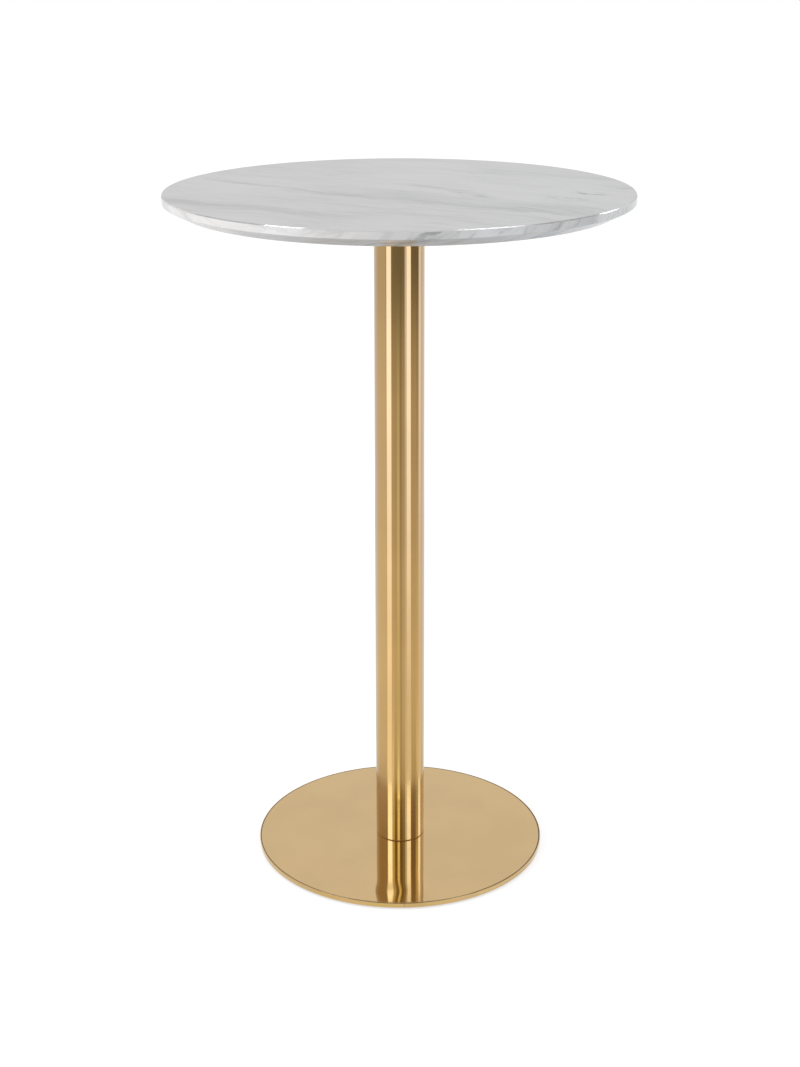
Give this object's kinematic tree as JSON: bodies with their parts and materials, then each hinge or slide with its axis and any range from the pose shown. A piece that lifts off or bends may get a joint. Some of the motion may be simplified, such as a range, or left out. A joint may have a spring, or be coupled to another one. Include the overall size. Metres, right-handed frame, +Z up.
{
  "type": "bar table",
  "caption": "Tall round bar table with a bevelled marble top on a polished brass-coloured column and a thin round base disc with levelling feet.",
  "frame": {"origin": "on the floor, under the middle of the column", "axes": "+Z up along the column, -Y towards the front of the picture, +X to the right seen from the front"},
  "size_m": [0.7, 0.7, 1.05],
  "materials": {
    "marble": "polished",
    "polished_brass": "polished",
    "black_steel": "satin",
    "zinc_steel": "satin",
    "black_rubber": "matte",
    "insert_brass": "satin",
    "nylon": "matte"
  },
  "bodies": {
    "table": {"marble_top": "marble", "column_tube": "polished_brass", "base_cover": "polished_brass", "rim_band": "polished_brass", "base_plate": "black_steel", "mounting_plate": "black_steel", "centring_cup": "black_steel", "base_hub": "zinc_steel", "hub_screws": "zinc_steel", "tie_rod": "zinc_steel", "tie_rod_jam_nut": "zinc_steel", "tie_rod_washer": "zinc_steel", "tie_rod_lock_washer": "zinc_steel", "tie_rod_nut": "zinc_steel", "plate_bolts": "zinc_steel", "plate_washers": "zinc_steel", "plate_pads": "black_rubber", "stone_inserts": "insert_brass"},
    "foot_pad_front_left": {"foot_pad_front_left": "nylon"},
    "foot_stud_front_left": {"foot_stud_front_left": "zinc_steel"},
    "foot_pad_front_right": {"foot_pad_front_right": "nylon"},
    "foot_stud_front_right": {"foot_stud_front_right": "zinc_steel"},
    "foot_pad_rear_left": {"foot_pad_rear_left": "nylon"},
    "foot_stud_rear_left": {"foot_stud_rear_left": "zinc_steel"},
    "foot_pad_rear_right": {"foot_pad_rear_right": "nylon"},
    "foot_stud_rear_right": {"foot_stud_rear_right": "zinc_steel"}
  },
  "joints": [
    {"name": "foot_travel_front_left", "type": "slide", "parent": "table", "child": "foot_pad_front_left", "axis": [0, 0, -1], "range_m": [0, 0.0025]},
    {"name": "foot_turn_front_left", "type": "hinge", "parent": "foot_pad_front_left", "child": "foot_stud_front_left", "pos_m": [-0.13789, -0.13789, 0], "axis": [0, 0, -1], "range_deg": [0, 720]},
    {"name": "foot_travel_front_right", "type": "slide", "parent": "table", "child": "foot_pad_front_right", "axis": [0, 0, -1], "range_m": [0, 0.0025]},
    {"name": "foot_turn_front_right", "type": "hinge", "parent": "foot_pad_front_right", "child": "foot_stud_front_right", "pos_m": [0.13789, -0.13789, 0], "axis": [0, 0, -1], "range_deg": [0, 720]},
    {"name": "foot_travel_rear_left", "type": "slide", "parent": "table", "child": "foot_pad_rear_left", "axis": [0, 0, -1], "range_m": [0, 0.0025]},
    {"name": "foot_turn_rear_left", "type": "hinge", "parent": "foot_pad_rear_left", "child": "foot_stud_rear_left", "pos_m": [-0.13789, 0.13789, 0], "axis": [0, 0, -1], "range_deg": [0, 720]},
    {"name": "foot_travel_rear_right", "type": "slide", "parent": "table", "child": "foot_pad_rear_right", "axis": [0, 0, -1], "range_m": [0, 0.0025]},
    {"name": "foot_turn_rear_right", "type": "hinge", "parent": "foot_pad_rear_right", "child": "foot_stud_rear_right", "pos_m": [0.13789, 0.13789, 0], "axis": [0, 0, -1], "range_deg": [0, 720]}
  ],
  "couplings": [
    {"joint": "foot_travel_front_left", "follows": "foot_turn_front_left", "m_per_rad": 0.00019894},
    {"joint": "foot_travel_front_right", "follows": "foot_turn_front_right", "m_per_rad": 0.00019894},
    {"joint": "foot_travel_rear_left", "follows": "foot_turn_rear_left", "m_per_rad": 0.00019894},
    {"joint": "foot_travel_rear_right", "follows": "foot_turn_rear_right", "m_per_rad": 0.00019894}
  ]
}
